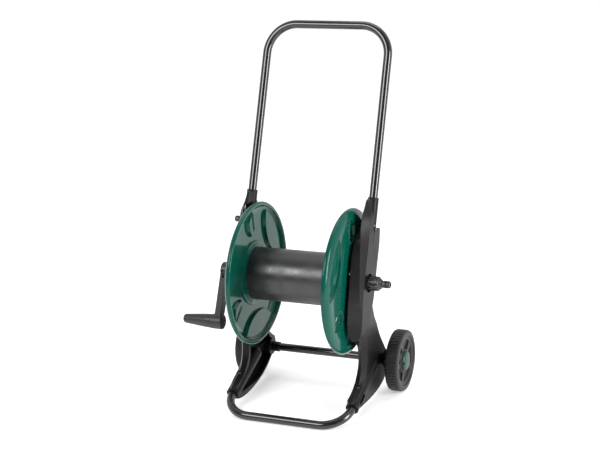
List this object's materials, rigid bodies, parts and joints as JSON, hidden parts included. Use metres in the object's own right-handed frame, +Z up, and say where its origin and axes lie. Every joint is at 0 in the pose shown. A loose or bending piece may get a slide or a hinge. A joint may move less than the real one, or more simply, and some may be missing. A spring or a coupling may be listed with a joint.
{
  "type": "garden hose reel cart",
  "caption": "Wheeled garden hose reel: bent-tube handle and foot loop, two side panels, dished reel flanges on a drum, side crank and swivel hose inlet.",
  "frame": {"origin": "centre of the whole cart's bounding box, on the ground the cart stands on", "axes": "+Z up, +X along the reel axis from the crank towards the hose inlet, -Y towards the foot loop at the front, +Y towards the wheels"},
  "size_m": [0.515, 0.4083, 0.88],
  "materials": {
    "tube_paint": "high-gloss black stove enamel on steel tube",
    "panel_plastic": "satin dark-grey moulded polypropylene, fine spark texture",
    "reel_green": "glossy deep green moulded plastic",
    "drum_plastic": "satin anthracite moulded plastic",
    "wheel_plastic": "satin black moulded plastic, scuffed tread",
    "cap_green": "satin green moulded plastic",
    "fitting_plastic": "satin dark-grey acetal",
    "grip_plastic": "soft satin dark-grey plastic",
    "bright_steel": "zinc-plated steel",
    "seal_rubber": "black nitrile rubber"
  },
  "bodies": {
    "frame": {"side_panel_left": "panel_plastic", "side_panel_right": "panel_plastic", "handle_tube": "tube_paint", "foot_tube": "tube_paint", "axle_tube": "tube_paint", "axle_rod": "bright_steel", "bearing_bush_left": "fitting_plastic", "bearing_bush_right": "fitting_plastic", "wheel_retainer_left": "bright_steel", "wheel_retainer_right": "bright_steel", "foot_screws": "bright_steel", "button_spring_left": "bright_steel", "button_spring_right": "bright_steel"},
    "reel": {"flange_left": "reel_green", "flange_right": "reel_green", "drum_shell_upper": "drum_plastic", "drum_shell_lower": "drum_plastic", "crank_shaft": "fitting_plastic", "water_shaft": "fitting_plastic", "shaft_seal": "seal_rubber", "outlet_elbow": "fitting_plastic", "crank_arm": "grip_plastic", "crank_screw": "bright_steel", "grip_spindle": "bright_steel", "flange_screws": "bright_steel"},
    "grip": {"crank_grip": "grip_plastic"},
    "wheel_left_body": {"wheel_left": "wheel_plastic", "hub_cap_left": "cap_green"},
    "wheel_right_body": {"wheel_right": "wheel_plastic", "hub_cap_right": "cap_green"},
    "inlet": {"inlet_nipple": "fitting_plastic", "nipple_seal": "seal_rubber", "inlet_nut": "fitting_plastic"},
    "button_left": {"lock_button_left": "fitting_plastic"},
    "button_right": {"lock_button_right": "fitting_plastic"}
  },
  "joints": [
    {"name": "reel_spin", "type": "hinge", "parent": "frame", "child": "reel", "pos_m": [0.0395, -0.03492, 0.309], "axis": [1, 0, 0], "continuous": true},
    {"name": "crank_grip_spin", "type": "hinge", "parent": "reel", "child": "grip", "pos_m": [-0.2185, -0.07768, 0.19154], "axis": [1, 0, 0], "continuous": true},
    {"name": "wheel_left_spin", "type": "hinge", "parent": "frame", "child": "wheel_left_body", "pos_m": [-0.1565, 0.08858, 0.075], "axis": [1, 0, 0], "continuous": true},
    {"name": "wheel_right_spin", "type": "hinge", "parent": "frame", "child": "wheel_right_body", "pos_m": [0.2355, 0.08858, 0.075], "axis": [1, 0, 0], "continuous": true},
    {"name": "inlet_swivel", "type": "hinge", "parent": "frame", "child": "inlet", "pos_m": [0.2295, -0.03492, 0.309], "axis": [1, 0, 0], "continuous": true},
    {"name": "button_left_press", "type": "slide", "parent": "frame", "child": "button_left", "axis": [1, 0, 0], "range_m": [0, 0.006], "stiffness_N_per_m": 1200, "springref_m": -0.002, "deforming": ["button_spring_left"]},
    {"name": "button_right_press", "type": "slide", "parent": "frame", "child": "button_right", "axis": [-1, 0, 0], "range_m": [0, 0.006], "stiffness_N_per_m": 1200, "springref_m": -0.002, "deforming": ["button_spring_right"]}
  ]
}
